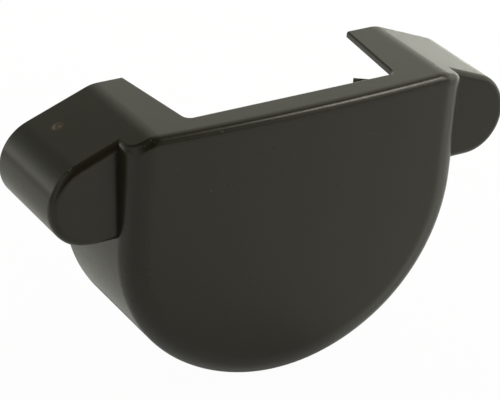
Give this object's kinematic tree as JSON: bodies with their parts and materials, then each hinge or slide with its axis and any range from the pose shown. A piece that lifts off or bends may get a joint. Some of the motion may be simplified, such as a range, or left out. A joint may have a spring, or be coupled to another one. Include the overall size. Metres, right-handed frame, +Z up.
{
  "type": "gutter end cap",
  "caption": "Plastic end cap for a half-round rain gutter: a D-shaped plate with a skirt, a deck with an open middle and rounded ears over the rims.",
  "frame": {"origin": "middle of the gutter's end: on the cap's mirror plane, level with the top of the deck, at the side edges of the plate", "axes": "+X across the gutter, +Y from the plate towards the gutter, +Z up"},
  "size_m": [0.1476, 0.037, 0.0843],
  "materials": {
    "cap_plastic": "satin, dark brown"
  },
  "bodies": {
    "root": {"end_cap": "cap_plastic"}
  },
  "joints": []
}
